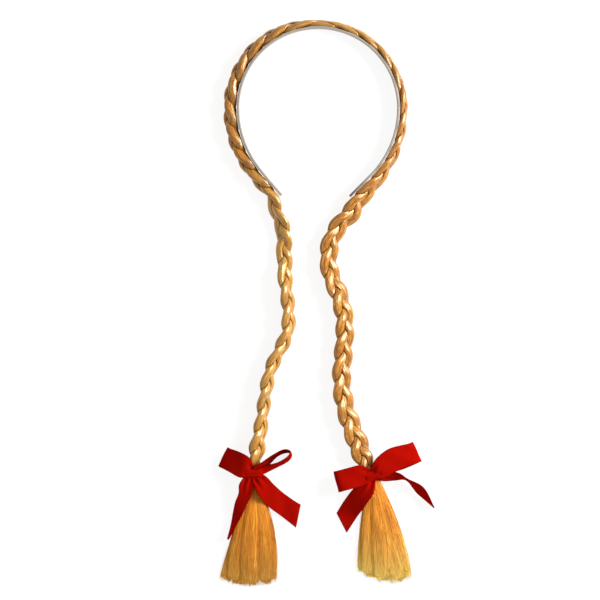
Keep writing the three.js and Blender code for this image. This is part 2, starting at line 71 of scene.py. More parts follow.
# %% [markdown]
# ## The camera
# The headband lies flat and is seen from straight above, so the camera hangs over it and looks down. A
# long lens from five metres keeps the view almost free of perspective. The frame is a square of 480 mm,
# and the headband sits a little right of its middle.

# %% Camera
VIEW_SIDE = 0.48
VIEW_HEIGHT = 5.0
VIEW_FROM_HEAD = (-0.0146, -0.1536)


def in_scene(name, data):
    """A new object in the scene for a camera, a lamp or a mesh."""
    thing = bpy.data.objects.new(name, data)
    bpy.context.scene.collection.objects.link(thing)
    return thing


view_data = bpy.data.cameras.new("view_from_above")
view_data.angle = 2 * math.atan(VIEW_SIDE / 2 / VIEW_HEIGHT)
view_camera = in_scene("view_from_above", view_data)
view_camera.location = (*(HEAD_MIDDLE[:2] + VIEW_FROM_HEAD), VIEW_HEIGHT)
bpy.context.scene.camera = view_camera
print("camera at", [round(value, 4) for value in view_camera.location])

# %% [markdown]
# ## A helper for materials
# A shader is a graph of nodes. Written out by hand each node takes several lines, so a small class keeps
# the recipes short: every call adds one node, feeds its sockets by name and gives back the first output.

# %% Helper: a finish
class Finish:
    """A material whose nodes are added one by one around a Principled shader."""

    def __init__(self, name, **constants):
        self.material = bpy.data.materials.new(name)
        self.material.use_nodes = True
        self.tree = self.material.node_tree
        self.shader = self.tree.nodes["Principled BSDF"]
        for socket, value in constants.items():
            self.shader.inputs[socket.replace("_", " ")].default_value = value

    def fill(self, socket, value):
        """Feeds a socket with another node's output, a number or a colour."""
        if isinstance(value, bpy.types.NodeSocket):
            self.tree.links.new(value, socket)
        else:
            socket.default_value = (*value, 1) if socket.type == "RGBA" else value

    def add(self, kind, feeds=None, output=None, **settings):
        node = self.tree.nodes.new("ShaderNode" + kind)
        for name, value in settings.items():
            setattr(node, name, value)
        for name, value in (feeds or {}).items():
            self.fill(node.inputs[name], value)
        return node.outputs[output] if output else next(s for s in node.outputs if s.enabled)

    def attribute(self, name, output="Vector"):
        return self.add("Attribute", output=output, attribute_name=name)

    def noise(self, place, scale, detail, rough=0.5):
        return self.add("TexNoise", {"Vector": place, "Scale": scale, "Detail": detail, "Roughness": rough})

    def ramp(self, factor, stops):
        colours = self.add("ValToRGB", {"Fac": factor})
        elements = colours.node.color_ramp.elements
        while len(elements) < len(stops):
            elements.new(1.0)
        for element, (place, colour) in zip(elements, stops):
            element.position = place
            element.color = (*colour, 1)
        return colours

    def mixed(self, factor, first, second, blend="MIX"):
        colour = self.add("Mix", data_type="RGBA", blend_type=blend)
        sockets = [colour.node.inputs["Factor"], *[s for s in colour.node.inputs if s.type == "RGBA"]]
        for socket, value in zip(sockets, (factor, first, second)):
            self.fill(socket, value)
        return colour

    def feed(self, socket, value):
        self.tree.links.new(value, self.shader.inputs[socket])

    def bump(self, height, strength, distance):
        feeds = {"Height": height, "Strength": strength, "Distance": distance}
        self.feed("Normal", self.add("Bump", feeds))


# %% [markdown]
# ## Floor and light
# The headband lies on a bright white surface that glows a little, as a light table does, so that shadows
# stay faint. A pale dome fills in. One lamp stands low at the right of the picture: it leaves the left
# flanks brown and draws cream streaks on the right flanks. A small lamp gives sharp streaks and a large
# one soft ones.

# %% Floor and lights
FLOOR_SIDE = 6.0
FLOOR_GREY = 0.18
FLOOR_GLOW = 0.86
DOME_STRENGTH = 0.53
DOME_COLOUR = (1.0, 0.99, 0.97, 1)
KEY_PLACE = (1.00, 0.30, 0.62)
KEY_SIDE = 0.6
KEY_POWER = 25.0

bpy.ops.mesh.primitive_plane_add(size=FLOOR_SIDE)
floor = bpy.context.object
floor.name = "floor"
white_table = Finish(
    "white_table",
    Base_Color=(FLOOR_GREY, FLOOR_GREY, FLOOR_GREY, 1),
    Roughness=0.8,
    Emission_Color=(1, 1, 1, 1),
    Emission_Strength=FLOOR_GLOW,
)
floor.data.materials.append(white_table.material)

world = bpy.data.worlds.new("pale_dome")
world.use_nodes = True
dome = world.node_tree.nodes["Background"].inputs
dome["Color"].default_value = DOME_COLOUR
dome["Strength"].default_value = DOME_STRENGTH
bpy.context.scene.world = world

key_data = bpy.data.lights.new("key_lamp", "AREA")
key_data.size = KEY_SIDE
key_data.energy = KEY_POWER
key_lamp = in_scene("key_lamp", key_data)
key_lamp.location = KEY_PLACE
key_lamp.rotation_euler = (-Vector(KEY_PLACE)).to_track_quat("-Z", "Y").to_euler()
bpy.context.scene.view_settings.view_transform = "Standard"

# %% [markdown]
# ## The hair's finish
# Synthetic hair is a bundle of glossy golden fibres. Seen close it is streaked: each fibre has its own
# tone. Painted shade is added to the colour too: where little light gets in, deep between two strands,
# low in the weave and on stretches of the band's two sides, the colour is mixed towards a dark brown. A
# texture on plain coordinates would run across the hairs, so every hair piece stores its own attributes.
# The one named streak holds two numbers for the place around the strand and one for the place along it.
# Noise that is stretched along the third gives streaks that follow the hair, in the colour and in a fine
# bump. One more attribute holds how much of that painted shade each point gets, with a little random
# darkening on the loose hairs. The one named comb says which way the hairs run, because their gloss is
# drawn out across them.

# %% Finish: golden hair
# place in the streak noise and colour there, from the darkest streaks to the palest
PLAITED_TONES = [
    (0.33, (0.25, 0.064, 0.002)),
    (0.45, (0.4, 0.132, 0.006)),
    (0.56, (0.51, 0.212, 0.02)),
    (0.68, (0.72, 0.42, 0.09)),
]
LOOSE_TONES = [
    (0.25, (0.7, 0.232, 0.008)),
    (0.45, (0.76, 0.272, 0.011)),
    (0.62, (0.79, 0.315, 0.016)),
    (0.8, (0.84, 0.41, 0.04)),
]
# painted shade: the dark brown that the hair colour is mixed towards where little light gets in
DEEP_BROWN = (0.115, 0.03, 0.001)
PALE_TIP = (1.0, 0.76, 0.2)
BRIGHTEST = (1.15, 1.15, 1.15)
SHINE = (1.0, 0.92, 0.64, 1)
SHINE_DRAWN_OUT = 0.4
ACROSS_THE_HAIRS = 0.25
# what every hair piece stores for this finish
HAIR_VALUES = ("streak", "pressed", "pale", "comb")


def hair_finish(name, tones, rough, index, gloss, dullest):
    finish = Finish(
        name,
        Roughness=rough,
        IOR=index,
        Specular_IOR_Level=gloss,
        Specular_Tint=SHINE,
        Anisotropic=SHINE_DRAWN_OUT,
        Anisotropic_Rotation=ACROSS_THE_HAIRS,
    )
    streak = finish.attribute("streak")
    fine = finish.noise(streak, 9.0, 3.0, 0.6)
    broad = finish.noise(streak, 2.4, 1.0)
    golden = finish.ramp(fine, tones)
    tone = finish.add("MapRange", {"Value": broad, "From Min": 0.32, "From Max": 0.68})
    uneven = finish.mixed(tone, dullest, BRIGHTEST)
    coloured = finish.mixed(1.0, golden, uneven, "MULTIPLY")
    paled = finish.mixed(finish.attribute("pale", "Fac"), coloured, PALE_TIP)
    # the mix towards dark brown is painted shade, plus a little random darkening of the loose hairs
    finish.feed("Base Color", finish.mixed(finish.attribute("pressed", "Fac"), paled, DEEP_BROWN))
    finish.bump(fine, 0.3, 0.0003)
    finish.feed("Tangent", finish.attribute("comb"))
    return finish.material


braid_hair = hair_finish("braided_golden_hair", PLAITED_TONES, 0.29, 1.57, 1.0, (0.62, 0.52, 0.4))
loose_hair = hair_finish("loose_golden_hair", LOOSE_TONES, 0.45, 1.5, 0.28, (0.78, 0.68, 0.55))
print("hair finishes:", braid_hair.name, loose_hair.name)

# %% [markdown]
# ## A helper for Geometry Nodes
# The plait, the tassels and the band all follow a path by a rule, which is what Geometry Nodes are for.
# Two classes write such a tree line by line. Every call adds one node and gives back its output as a
# term, and terms are added, multiplied and raised like numbers. Sizes are named inputs. A finished tree
# is run on a source object, and its result is kept as a plain mesh.

# %% Helper: a term of a node tree
class Term:
    """An output in a tree that takes part in sums: each sign adds a math node for numbers or vectors."""

    def __init__(self, sketch, socket):
        self.sketch = sketch
        self.socket = socket

    def run(self, operation, *others):
        kind = "ShaderNodeVectorMath" if is_vector(self) else "ShaderNodeMath"
        return self.sketch.node(kind, self, *others, operation=operation)

    def __add__(self, other):
        return self.run("ADD", other)

    def __sub__(self, other):
        return self.run("SUBTRACT", other)

    def __rsub__(self, number):
        return self.sketch.node("ShaderNodeMath", number, self, operation="SUBTRACT")

    def __mul__(self, other):
        return self.run("SCALE" if is_vector(self) and not is_vector(other) else "MULTIPLY", other)

    def __truediv__(self, other):
        return self.run("DIVIDE", other)

    def __pow__(self, power):
        return self.run("POWER", power)


def is_vector(value):
    return isinstance(value, Term) and value.socket.type in ("VECTOR", "RGBA")


# %% Helper: a node tree
CAP_CORNERS = 5
SOCKETS = {float: "NodeSocketFloat", int: "NodeSocketInt", bpy.types.Material: "NodeSocketMaterial"}


class Sketch:
    """A Geometry Nodes tree that is written like a sum."""

    def __init__(self, name):
        self.tree = bpy.data.node_groups.new(name, "GeometryNodeTree")
        for way in ("INPUT", "OUTPUT"):
            self.tree.interface.new_socket("Geometry", in_out=way, socket_type="NodeSocketGeometry")
        self.start = self.tree.nodes.new("NodeGroupInput")
        self.source = Term(self, self.start.outputs["Geometry"])
        self.identifiers = {}
        self.values = {}

    def input(self, name, value):
        """A named input whose kind follows from its usual value."""
        kind = SOCKETS[type(value)]
        socket = self.tree.interface.new_socket(name, in_out="INPUT", socket_type=kind)
        self.identifiers[name] = socket.identifier
        self.values[name] = value
        return Term(self, self.start.outputs[name])

    def outputs(self, kind, *feeds, **settings):
        """Adds a node, feeds its open sockets in their order and gives back all that it puts out.

        A kind that does not say what sort of node it is means a geometry node.
        """
        node = self.tree.nodes.new(kind if "Node" in kind else "GeometryNode" + kind)
        for name, value in settings.items():
            setattr(node, name, value)
        sockets = [socket for socket in node.inputs if socket.enabled]
        for socket, feed in zip(sockets, feeds):
            if isinstance(feed, Term):
                self.tree.links.new(feed.socket, socket)
            else:
                socket.default_value = feed
        return [Term(self, socket) for socket in node.outputs if socket.enabled]

    def node(self, kind, *feeds, **settings):
        return self.outputs(kind, *feeds, **settings)[0]

    def combined(self, *parts):
        return self.node("ShaderNodeCombineXYZ", *parts)

    def split(self, vector):
        return self.outputs("ShaderNodeSeparateXYZ", vector)[:2]

    def number(self, name):
        return self.node("InputNamedAttribute", name, data_type="FLOAT")

    def arrow(self, name):
        return self.node("InputNamedAttribute", name, data_type="FLOAT_VECTOR")

    def store(self, geometry, **values):
        """Keeps each value under its name on the points."""
        for name, value in values.items():
            kind = "FLOAT_VECTOR" if is_vector(value) else "FLOAT"
            settings = {"data_type": kind, "domain": "POINT"}
            geometry = self.node("StoreNamedAttribute", geometry, True, name, value, **settings)
        return geometry

    def path(self):
        """The source's lines as curves whose points remember their place."""
        line = self.node("MeshToCurve", self.source)
        return self.store(line, middle=self.node("InputPosition"))

    def tube(self, line, sides):
        """A tube round each line, whose points remember their place on the unit circle as rim."""
        circle = self.node("CurvePrimitiveCircle", sides, 1.0, mode="RADIUS")
        circle = self.store(circle, rim=self.node("InputPosition"))
        return self.node("CurveToMesh", line, circle, 1.0, True)

    def placed(self, **amounts):
        """The line's own point, moved by each amount along the axis of that name that the point carries."""
        point = self.arrow("middle")
        for axis, amount in amounts.items():
            point = point + self.arrow(axis) * amount
        return point

    def joined(self, first, second):
        whole = self.node("JoinGeometry", first)
        self.tree.links.new(second.socket, whole.socket.node.inputs["Geometry"])
        return whole

    def end(self, geometry, material):
        """Closes the tree. Everything is shaded smooth but the caps, the only faces with many corners."""
        whole = self.node("RealizeInstances", geometry)
        no_cap = self.node("InputMeshFaceNeighbors").run("LESS_THAN", CAP_CORNERS)
        smooth = self.node("SetShadeSmooth", whole, True, no_cap)
        dressed = self.node("SetMaterial", smooth, True, material)
        last = self.tree.nodes.new("NodeGroupOutput")
        self.tree.links.new(dressed.socket, last.inputs["Geometry"])


# %% Helper: from lines to a plain mesh
def path_object(name, paths):
    """An object of open lines, one for each path: its points and, by name, the values that they carry."""
    points = np.concatenate([path["points"] for path in paths])
    ends = np.cumsum([len(path["points"]) for path in paths])
    edges = [(point - 1, point) for point in range(1, len(points)) if point not in ends]
    mesh = bpy.data.meshes.new(name)
    mesh.from_pydata(points.tolist(), edges, [])
    for value_name in paths[0]:
        values = np.concatenate([path[value_name] for path in paths]).astype(np.float32)
        if value_name != "points":
            kind, field = ("FLOAT_VECTOR", "vector") if values.ndim == 2 else ("FLOAT", "value")
            mesh.attributes.new(value_name, kind, "POINT").data.foreach_set(field, values.ravel())
    return in_scene(name, mesh)


def measured(mesh):
    """The number of triangles of a mesh and the volume that they close, in millilitres."""
    shape = bmesh.new()
    shape.from_mesh(mesh)
    count = len(shape.calc_loop_triangles())
    volume = shape.calc_volume(signed=True)
    shape.free()
    return f"{count} triangles, {volume * 1e6:.2f} ml"


def grown(name, source, sketch, kept=(), **values):
    """Runs a tree on a source object and keeps the result as a plain mesh with only the named values."""
    modifier = source.modifiers.new(sketch.tree.name, "NODES")
    modifier.node_group = sketch.tree
    for input_name, value in {**sketch.values, **values}.items():
        modifier[sketch.identifiers[input_name]] = value
    evaluated = source.evaluated_get(bpy.context.evaluated_depsgraph_get())
    mesh = bpy.data.meshes.new_from_object(evaluated)
    source.modifiers.remove(modifier)
    bpy.data.objects.remove(source)
    for value_name in [a.name for a in mesh.attributes if not a.is_required and not a.is_internal]:
        if value_name not in (*kept, "sharp_face", "material_index"):
            mesh.attributes.remove(mesh.attributes[value_name])
    return finished(name, mesh)


def finished(name, mesh):
    print(name, measured(mesh))
    return in_scene(name, mesh)


def hand_in(piece, node):
    """The piece rides on the one body and stands for the node, which is hidden."""
    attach(piece, "root")
    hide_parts(node)


# %% [markdown]
# ## Smooth curves and places on the band
# Every path of the headband is a short table of rows, and a Catmull-Rom curve passes through them all.
# The band itself is round over the crown, turns in more slowly below the ears, and ends straight.

# %% Helper: smooth curves and places on the band
UP = np.array([0.0, 0.0, 1.0])
FULL_TURN = 2 * math.pi
# by the sign of the side: radius of the flank below the ears, its turn in degrees, the straight end
BAND_SIDES = {-1: (0.078, 40, 0.025), 1: (0.076, 45, 0.023)}


def smooth_through(rows, shares):
    """Values at shares from 0 to 1 of the curve that passes smoothly through the rows (Catmull-Rom)."""
    rows = np.asarray(rows, float)
    padded = np.vstack([2 * rows[0] - rows[1], rows, 2 * rows[-1] - rows[-2]])
    place = np.asarray(shares) * (len(rows) - 1)
    span = np.minimum(place.astype(int), len(rows) - 2)
    t = (place - span)[:, None]
    a, b, c, d = (padded[span + step] for step in range(4))
    return b + t / 2 * (c - a + t * (2 * a - 5 * b + 4 * c - d + t * (3 * b - 3 * c + d - a)))


def on_band(turn, past, offset):
    """A point raised by an offset over the band's inner face. Turns on the left are negative."""
    sign = -1 if turn < 0 else 1
    flank_radius = BAND_SIDES[sign][0]
    outside = np.array([math.sin(math.radians(turn)), math.cos(math.radians(turn))])
    point = outside * (HEAD_WIDTH / 2 + offset)
    if abs(turn) > 90:
        point = outside * (flank_radius + offset) - [sign * (flank_radius - HEAD_WIDTH / 2), 0]
    return point + sign * past * np.array([outside[1], -outside[0]])


def unit(vectors):
    return vectors / np.linalg.norm(vectors, axis=-1, keepdims=True)


# %% [markdown]
# ## The band
# The band is one strip of off-white plastic on edge, with rounded corners. A rounded rectangle is swept
# along the middle of its thickness. The sweep needs to know which way is up, so the curve's normals are
# set to point there.

# %% Finish: smooth plastic
def plastic_finish():
    finish = Finish("off_white_plastic", Roughness=0.32, Specular_IOR_Level=0.5)
    place = finish.add("TexCoord", output="Object")
    cloudy = finish.noise(place, 60.0, 3.0)
    grain = finish.noise(place, 900.0, 2.0)
    finish.feed("Base Color", finish.mixed(cloudy, (0.30, 0.25, 0.20), (0.38, 0.325, 0.265)))
    finish.bump(grain, 0.1, 0.0002)
    return finish.material


band_plastic = plastic_finish()
print("band finish:", band_plastic.name)

# %% Tree: the band
BAND_TURN_STEP = 3
BAND_CORNER = 0.0006


def band_path():
    rows = []
    for sign, (_, flank_turn, tip) in BAND_SIDES.items():
        end_turn = 90 + flank_turn
        walk = [(sign * turn, 0) for turn in range(0, end_turn + 1, BAND_TURN_STEP)]
        walk += [(sign * end_turn, tip)]
        rows += walk[:0:-1] if sign < 0 else walk
    flat = [on_band(turn, past, BAND_THICKNESS / 2) for turn, past in rows]
    return {"points": np.array([(x, y, BAND_WIDTH / 2) for x, y in flat]) + HEAD_MIDDLE}


def band_tree():
    sketch = Sketch("head band")
    thickness = sketch.input("Thickness", BAND_THICKNESS)
    width = sketch.input("Width", BAND_WIDTH)
    corner = sketch.input("Corner radius", BAND_CORNER)
    material = sketch.input("Material", band_plastic)
    line = sketch.node("SetCurveNormal", sketch.path(), True, mode="Z_UP")
    section = sketch.node("CurvePrimitiveQuadrilateral", thickness, width)
    section = sketch.node("FilletCurve", section, 4, corner, True, mode="POLY")
    sketch.end(sketch.node("CurveToMesh", line, section, 1.0, True), material)
    return sketch


band = grown("head_band_plastic", path_object("head_band_path", [band_path()]), band_tree())
hand_in(band, "head_band")

# %% [markdown]
# ## The path of the plait
# One smooth line runs through the middle of the plait from the left bow, up the left pigtail, round the
# band over its crown, and down to the right bow. Each row of the tables is a place on it. Lean says how
# far the plait's face turns from straight up, wide and deep how full it is, and pitch how long one full
# turn is. Hairdressers plait both sides from the crown downwards, so the turns are counted from there.

# %% Tables of the plait
# x, y, lean in degrees, wide, deep, pitch, lift
LEFT_PIGTAIL = [
    (-52, -292, -45, 0.48, 0.8, 46, 2),
    (-51, -286, -48, 0.68, 0.84, 48, 1.8),
    (-49.4, -276, -52, 1.1, 0.98, 50, 0.4),
    (-47.4, -264, -55, 1.06, 1, 52, 0),
    (-45.2, -250, -58, 0.95, 1, 52, 0),
    (-42.2, -228, -60, 0.95, 1, 52, 0),
    (-38, -209, -60, 0.95, 1, 52, 0),
    (-31, -194, -58, 0.95, 1, 52, 0),
    (-24.6, -179, -58, 0.95, 1, 52, 0),
    (-24, -160, -58, 0.95, 1, 52, 0),
    (-26.4, -138, -52, 0.95, 1, 52, 0),
    (-27.2, -116, -5, 0.8, 1, 52, 0),
    (-28.4, -97, 42, 0.92, 0.95, 52, 0),
    (-34, -82, 50, 0.9, 0.85, 54, 0),
]
# turn from the crown in degrees, distance along the straight end, lean, wide, deep, pitch
ON_BAND = [
    (-130, 20, 66, 0.8, 1.12, 57),
    (-130, 0, 72, 0.76, 1.25, 58),
    (-113, 0, 75, 0.75, 1.32, 58),
    (-95, 0, 76, 0.74, 1.34, 58),
    (-75, 0, 77, 0.74, 1.3, 58),
    (-50, 0, 78, 0.74, 1.2, 58),
    (-25, 0, 81, 0.76, 0.94, 58),
    (0, 0, 86, 0.8, 0.72, 58),
    (25, 0, 88, 0.8, 0.74, 58),
    (50, 0, 88, 0.8, 0.77, 58),
    (75, 0, 85, 0.8, 0.8, 58),
    (95, 0, 80, 0.8, 0.8, 58),
    (115, 0, 66, 0.84, 0.82, 58),
    (135, 0, 50, 0.96, 0.86, 57),
    (135, 20, 40, 1.04, 0.88, 56),
]
RIGHT_PIGTAIL = [
    (26.8, -83, 34, 1.12, 0.92, 53, 0),
    (14.6, -97, 34, 1.03, 0.95, 52, 0),
    (8.8, -113, 32, 1.04, 1, 52, 0),
    (9.6, -132, 32, 1.04, 1, 52, 0),
    (17, -151, 32, 1.04, 1, 52, 0),
    (21.2, -171, 32, 1.05, 1, 52, 0),
    (20.2, -194, 32, 1.06, 1, 52, 0),
    (18.6, -216, 32, 1.06, 1, 52, 0),
    (21.2, -238, 30, 1.06, 1, 52, 0),
    (28.2, -259, 26, 1.12, 1, 52, 0),
    (34.2, -275, 22, 1.12, 0.98, 50, 0.4),
    (39, -287, 18, 0.72, 0.84, 48, 2.4),
    (41.4, -293, 15, 0.48, 0.8, 46, 2.6),
]
# share of the plait's length, how much paler the hair is there, how much painted shade darkens it there
PLAIT_TONES = [
    (0, 0.12, 0),
    (0.26, 0.12, 0),
    (0.32, 0, 0.12),
    (0.44, 0, 0.12),
    (0.5, 0.12, 0.02),
    (0.55, 0.08, 0.06),
    (0.6, 0, 0.14),
    (0.68, 0, 0.14),
    (0.74, 0, 0.02),
    (1, 0, 0.02),
]
CROWN_ROW = len(LEFT_PIGTAIL) + next(i for i, row in enumerate(ON_BAND) if row[0] == 0)

# %% The middle line of the plait
SWING = 0.0040
WEAVE = 0.0012
LOBE_WIDTH = 0.0042
LOBE_DEPTH = 0.0029
BAND_GAP = 0.0003
BAND_PRESS = 0.0010
FLOOR_GAP = 0.0001
CROWN_LAP = 0.12
PARTING = 0.055
REACH_STEPS = 48
FINE_STEPS = 3000
STATION_STEP = 0.0009


def plait_reach(wide, deep, turned):
    """Half the plait's size in a direction between its width (0 degrees) and its depth (90 degrees)."""
    phase = np.linspace(0, FULL_TURN, REACH_STEPS + 1)
    across = wide * math.cos(math.radians(turned))
    through = deep * math.sin(math.radians(turned))
    swing = (SWING * np.sin(phase) * across + WEAVE * np.sin(2 * phase) * through).max()
    return swing + math.hypot(LOBE_WIDTH * across, LOBE_DEPTH * through)


def plait_rows():
    """Place, lean, wide, deep and pitch of every row, with its height worked out so that it rests."""
    rows = []
    for turn, past, lean, wide, deep, pitch in ON_BAND:
        reach = plait_reach(wide, deep, lean) - BAND_PRESS
        x, y = on_band(turn, past * MM, BAND_THICKNESS + BAND_GAP + reach) / MM
        rows.append((x, y, lean, wide, deep, pitch, 0))
    rows = np.array([*LEFT_PIGTAIL, *rows, *RIGHT_PIGTAIL]) * [MM, MM, 1, 1, 1, MM, MM]
    heights = [plait_reach(wide, deep, 90 - lean) for _, _, lean, wide, deep, _, _ in rows]
    return np.column_stack([rows[:, :2], rows[:, 6] + heights + FLOOR_GAP, rows[:, 2:6]])


def to_band(points):
    """From each point, the level direction to the nearest place on the band and the room before its face."""
    line = band_path()["points"]
    along = np.arange(len(line))
    finely = np.linspace(0, along[-1], FINE_STEPS)
    line = np.array([np.interp(finely, along, line[:, axis]) for axis in range(2)]).T
    apart = line[None] - points[:, None, :2]
    nearest = apart[np.arange(len(points)), np.linalg.norm(apart, axis=2).argmin(axis=1)]
    room = np.linalg.norm(nearest, axis=1) - BAND_THICKNESS / 2 - BAND_GAP
    return np.column_stack([unit(nearest), np.zeros(len(points))]), room


def plait_path():
    rows = plait_rows()
    shares = np.linspace(0, 1, FINE_STEPS + 1)
    values = smooth_through(rows, shares)
    steps = np.linalg.norm(np.diff(values[:, :3], axis=0), axis=1)
    along = np.concatenate([[0], np.cumsum(steps)])
    pitch = values[:, 6]
    laps = np.concatenate([[0], np.cumsum(steps / pitch[1:])])
    crown_laps = np.interp(CROWN_ROW / (len(rows) - 1), shares, laps)
    turns = PARTING + np.hypot(laps - crown_laps - PARTING, CROWN_LAP)
    spots = np.linspace(0, along[-1], round(along[-1] / STATION_STEP) + 1)
    even = np.array([np.interp(spots, along, column) for column in [*values.T, turns]]).T
    points = even[:, :3] + HEAD_MIDDLE
    ahead = unit(np.gradient(points, axis=0))
    left = unit(np.cross(UP, ahead))
    above = np.cross(ahead, left)
    lean, wide, deep, _, turns = even[:, 3:].T
    lean = np.radians(lean)[:, None]
    inward, room = to_band(points)
    tone_places, pale, brown = np.array(PLAIT_TONES).T
    return {
        "points": points,
        "inward": inward,
        "room": room,
        "across": left * np.cos(lean) - above * np.sin(lean),
        "through": left * np.sin(lean) + above * np.cos(lean),
        "wide": wide,
        "deep": deep,
        "ahead": ahead,
        "along": spots,
        "pale": np.interp(spots / along[-1], tone_places, pale),
        # painted shade along the plait, on stretches of the band's two sides
        "brown": np.interp(spots / along[-1], tone_places, brown),
        "turns": turns,
        "turning": np.gradient(turns, spots),
    }


plait = plait_path()
print("plait:", len(plait["points"]), "stations,", round(plait["along"][-1], 3), "m long")

# %% [markdown]
# ## The three strands
# Each strand swings from side to side and dips under the others, a third of a turn after its neighbour.
# Where two strands press on each other they flatten against the plane between their middles. The tree
# below does what hair does: it draws an oval round the strand's own middle and pulls each point in to
# that plane. A rounded minimum keeps the edges of the flats soft. Fine ridges along the strand stand for
# locks of hair. Last, the points that would reach into the band are pushed back to its face.

# %% Tree: one strand of the plait
STRANDS = 3
SHADE_FROM = 0.4
LEAST_FACING = 0.02
STREAKS_ALONG = 30.0
# scale, detail and roughness of the noise that makes the ridges
RIDGE_NOISE = (2.3, 2.0, 0.5)


def strand_tree():
    sketch = Sketch("plait strand")
    share = sketch.input("Share of a turn", 0.0)
    swing = sketch.input("Swing", SWING)
    weave = sketch.input("Weave", WEAVE)
    lobe_width = sketch.input("Lobe width", LOBE_WIDTH)
    lobe_depth = sketch.input("Lobe depth", LOBE_DEPTH)
    seam = sketch.input("Seam", 0.00015)
    softness = sketch.input("Softness", 0.0008)
    ridge = sketch.input("Ridge height", 0.0010)
    shade = sketch.input("Shade below", 0.22)
    sides = sketch.input("Sides", 64)
    material = sketch.input("Material", braid_hair)

    tube = sketch.tube(sketch.path(), sides)
    rim = sketch.arrow("rim")
    started = sketch.number("turns") + share

    def strand_middle(step):
        phase = (started + step / STRANDS) * FULL_TURN
        return sketch.combined(phase.run("SINE") * swing, (phase * 2.0).run("SINE") * weave, 0.0)

    def strand_way():
        """The way that the strand's hairs run, from how fast its middle moves aside and up."""
        phase = started * FULL_TURN
        rate = sketch.number("turning") * FULL_TURN
        aside = phase.run("COSINE") * swing
        rise = (phase * 2.0).run("COSINE") * weave * 2.0
        way = sketch.arrow("ahead")
        for axis, fullness, step in (("across", "wide", aside), ("through", "deep", rise)):
            way = way + sketch.arrow(axis) * (step * rate * sketch.number(fullness))
        return way.run("NORMALIZE")

    own = strand_middle(0)
    oval = rim * sketch.combined(lobe_width, lobe_depth, 0.0)
    free = oval.run("LENGTH")
    direction = oval.run("NORMALIZE")
    reach = free
    for step in range(1, STRANDS):
        away = strand_middle(step) - own
        apart = away.run("LENGTH")
        facing = direction.run("DOT_PRODUCT", away) / apart
        limit = (apart - seam) / (facing.run("MAXIMUM", LEAST_FACING) * 2.0)
        reach = reach.run("SMOOTH_MIN", limit, softness)

    # painted shade: the hair is made browner where the strand dips low in the weave, where it is flattened
    # against its neighbours, and on the stretches of the plait that its tone table darkens
    height = (started * (2 * FULL_TURN)).run("SINE")
    sunk_shade = (SHADE_FROM - height).run("MAXIMUM", 0.0) * shade + sketch.number("brown")
    pressed = sunk_shade + 1.0 - reach / free
    streak = rim + sketch.combined(0.0, 0.0, sketch.number("along") * STREAKS_ALONG)
    streak = streak + sketch.combined(share * 7.0, share * 3.0, share * 5.0)
    tube = sketch.store(tube, streak=streak, pressed=pressed, comb=strand_way())

    wave = sketch.node("ShaderNodeTexNoise", streak, *RIDGE_NOISE)
    reach = reach + (wave - 0.5) * ridge
    at_x, at_y = sketch.split(own + direction * reach)
    sideways = at_x * sketch.number("wide")
    upwards = at_y * sketch.number("deep")
    inward = sketch.arrow("inward")
    over = sketch.number("room") * -1.0
    for axis, amount in (("across", sideways), ("through", upwards)):
        over = over + sketch.arrow(axis).run("DOT_PRODUCT", inward) * amount
    pushed = over.run("SMOOTH_MAX", 0.0, softness) * -1.0
    moved = sketch.placed(across=sideways, through=upwards, inward=pushed)
    sketch.end(sketch.node("SetPosition", tube, True, moved), material)
    return sketch


# %% Strands
plait_strand = strand_tree()
for number in range(STRANDS):
    source = path_object(f"braid_strand_{number + 1}_path", [plait])
    turned = {"Share of a turn": number / STRANDS}
    strand = grown(f"braid_strand_{number + 1}_hair", source, plait_strand, HAIR_VALUES, **turned)
    hand_in(strand, f"braid_strand_{number + 1}")

# %% [markdown]
# ## The ribbon's finish
# Satin ribbon is dyed deep red. Its face is woven from long floating threads, so it shines softly along
# its length, and its woven edges are a little darker and thicker. Every ribbon strip stores its own
# coordinates: how far across the ribbon and how far along it a point is, in metres.

# %% Finish: red satin
RIBBON_WIDTH = 0.017


def satin_finish():
    finish = Finish("red_satin", Roughness=0.6, Specular_IOR_Level=0.0)
    place = finish.attribute("ribbon")
    along = finish.add("Mapping", {"Vector": place, "Scale": (2600.0, 120.0, 1.0)})
    threads = finish.noise(along, 1.0, 2.0)
    cloudy = finish.noise(place, 110.0, 2.0)
    dyed = finish.mixed(threads, (0.305, 0.0024, 0.0006), (0.375, 0.0048, 0.0016))
    uneven = finish.mixed(cloudy, (0.8, 0.8, 0.8), (1.1, 1.1, 1.1))
    dyed = finish.mixed(1.0, dyed, uneven, "MULTIPLY")
    across = finish.add("SeparateXYZ", {"Vector": place}, output="X")
    from_middle = finish.add("Math", {0: across}, operation="ABSOLUTE")
    selvedge = {"Value": from_middle, "From Min": 0.45 * RIBBON_WIDTH, "From Max": 0.5 * RIBBON_WIDTH}
    edge = finish.add("MapRange", selvedge)
    finish.feed("Base Color", finish.mixed(edge, dyed, (0.19, 0.001, 0.001)))
    finish.bump(threads, 0.15, 0.0001)
    return finish.material


red_satin = satin_finish()
print("ribbon finish:", red_satin.name)

# %% [markdown]
# ## Tables of the bows
# A bow is one ribbon: a wrap round the hair, a knot, two loops and two tails. Each loop or tail is a
# strip that starts at the knot. Its rows say how far out and to which side it lies, how high, how much of
# the ribbon's width is spread out there, and how far it is twisted from lying flat to standing on edge.

